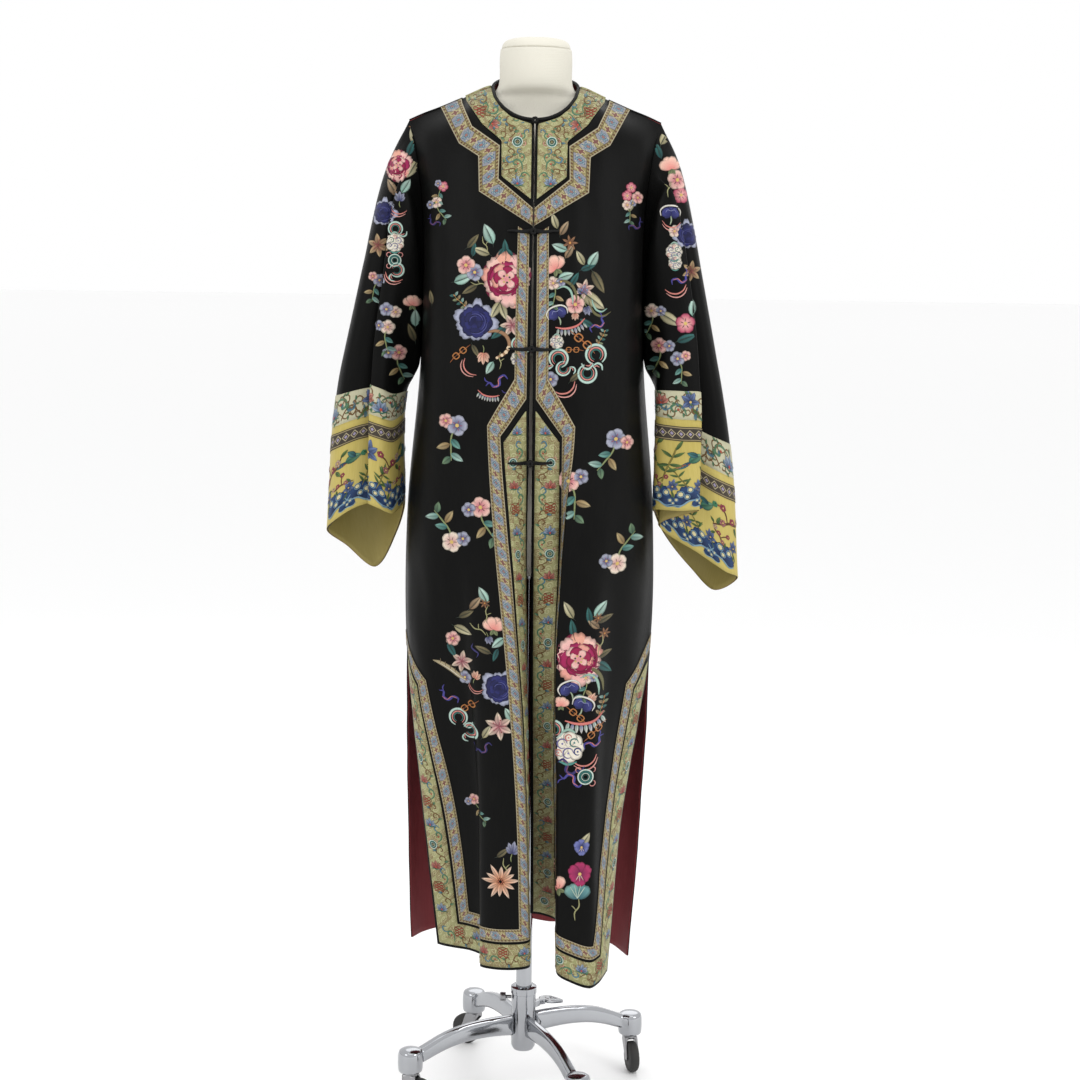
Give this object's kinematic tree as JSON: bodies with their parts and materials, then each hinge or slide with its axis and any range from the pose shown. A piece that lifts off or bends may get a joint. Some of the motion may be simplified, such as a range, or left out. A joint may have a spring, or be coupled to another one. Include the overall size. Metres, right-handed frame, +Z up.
{
  "type": "embroidered silk robe on a wheeled limbless dress form",
  "caption": "Long embroidered silk robe with wide banded sleeves, worn on a limbless dress form with a height-set pole, turning top and four-caster chrome stand.",
  "frame": {"origin": "on the floor, under the middle of the whole object", "axes": "+Z up, the front of the robe faces -Y, the wearer's left is +X"},
  "size_m": [0.6332, 0.393, 1.634],
  "materials": {
    "silk": "black silk satin, soft sheen, silk embroidery in satin stitch",
    "brocade": "pale green-gold damask, embroidered",
    "ribbon": "woven tan-gold ribbon with blue medallions",
    "cuff_floral": "cream silk with blue flowers",
    "cuff_satin": "yellow satin, embroidered",
    "cuff_ribbon": "dark brown woven ribbon",
    "facing": "plain olive-yellow silk",
    "lining": "dusty maroon silk",
    "cord": "black silk cord",
    "linen": "off-white jersey over a hard shell",
    "chrome": "polished chrome",
    "steel": "dull plated steel",
    "rubber": "black caster tyre"
  },
  "bodies": {
    "base": {"hub": "chrome", "leg_front_right": "chrome", "leg_front_left": "chrome", "leg_back_left": "chrome", "leg_back_right": "chrome"},
    "mast": {"pole": "chrome"},
    "dressed_form": {"torso": "linen", "neck_cap": "linen", "front_right": "silk", "front_left": "silk", "back_right": "silk", "back_left": "silk", "sleeve_right": "silk", "sleeve_left": "silk", "border_front_right": "brocade", "border_front_left": "brocade", "ribbon_front_right": "ribbon", "ribbon_front_left": "ribbon", "border_back_right": "brocade", "border_back_left": "brocade", "ribbon_back_right": "ribbon", "ribbon_back_left": "ribbon", "lining_back_right": "lining", "lining_back_left": "lining", "yoke_front_right": "brocade", "yoke_front_left": "brocade", "yoke_ribbon_front_right": "ribbon", "yoke_ribbon_front_left": "ribbon", "yoke_back_right": "brocade", "yoke_back_left": "brocade", "yoke_ribbon_back_right": "ribbon", "yoke_ribbon_back_left": "ribbon", "cuff_floral_right": "cuff_floral", "cuff_floral_left": "cuff_floral", "cuff_satin_right": "cuff_satin", "cuff_satin_left": "cuff_satin", "cuff_ribbon_right": "cuff_ribbon", "cuff_ribbon_left": "cuff_ribbon", "cuff_facing_right": "facing", "cuff_facing_left": "facing", "neck_binding": "cord", "frog_neck": "cord", "frog_chest": "cord", "frog_waist": "cord", "frog_hip": "cord"},
    "foot_pedal": {"pedal": "chrome"},
    "clamp_screw": {"thumbscrew": "steel"},
    "caster_front_right": {"fork_front_right": "steel"},
    "roller_front_right": {"wheel_front_right": "rubber"},
    "caster_front_left": {"fork_front_left": "steel"},
    "roller_front_left": {"wheel_front_left": "rubber"},
    "caster_back_left": {"fork_back_left": "steel"},
    "roller_back_left": {"wheel_back_left": "rubber"},
    "caster_back_right": {"fork_back_right": "steel"},
    "roller_back_right": {"wheel_back_right": "rubber"}
  },
  "joints": [
    {"name": "mast_slide", "type": "slide", "parent": "base", "child": "mast", "axis": [0, 0, 1], "range_m": [-0.03, 0.06]},
    {"name": "form_turn", "type": "hinge", "parent": "mast", "child": "dressed_form", "pos_m": [-0.00449, -0.00276, 0.838], "axis": [0, 0, 1], "continuous": true},
    {"name": "pedal_press", "type": "hinge", "parent": "base", "child": "foot_pedal", "pos_m": [0.01126, 0.01601, 0.134], "axis": [-0.766, 0.6428, 0], "range_deg": [0, 10], "stiffness_Nm_per_rad": 4, "springref_deg": -5.73},
    {"name": "screw_turn", "type": "hinge", "parent": "base", "child": "clamp_screw", "pos_m": [-0.02389, -0.00276, 0.15], "axis": [-1, 0, 0], "range_deg": [-180, 180]},
    {"name": "swivel_front_right", "type": "hinge", "parent": "base", "child": "caster_front_right", "pos_m": [-0.17825, -0.08676, 0.06], "axis": [0, 0, 1], "continuous": true},
    {"name": "roll_front_right", "type": "hinge", "parent": "caster_front_right", "child": "roller_front_right", "pos_m": [-0.16416, -0.0919, 0.025], "axis": [0.3429, 0.9394, 0], "continuous": true},
    {"name": "swivel_front_left", "type": "hinge", "parent": "base", "child": "caster_front_left", "pos_m": [0.07951, -0.17652, 0.06], "axis": [0, 0, 1], "continuous": true},
    {"name": "roll_front_left", "type": "hinge", "parent": "caster_front_left", "child": "roller_front_left", "pos_m": [0.08883, -0.16477, 0.025], "axis": [-0.7833, 0.6216, 0], "continuous": true},
    {"name": "swivel_back_left", "type": "hinge", "parent": "base", "child": "caster_back_left", "pos_m": [0.16927, 0.08124, 0.06], "axis": [0, 0, 1], "continuous": true},
    {"name": "roll_back_left", "type": "hinge", "parent": "caster_back_left", "child": "roller_back_left", "pos_m": [0.17256, 0.0666, 0.025], "axis": [0.9757, 0.219, 0], "continuous": true},
    {"name": "swivel_back_right", "type": "hinge", "parent": "base", "child": "caster_back_right", "pos_m": [-0.08849, 0.171, 0.06], "axis": [0, 0, 1], "continuous": true},
    {"name": "roll_back_right", "type": "hinge", "parent": "caster_back_right", "child": "roller_back_right", "pos_m": [-0.10134, 0.17873, 0.025], "axis": [-0.5155, -0.8569, 0], "continuous": true}
  ]
}
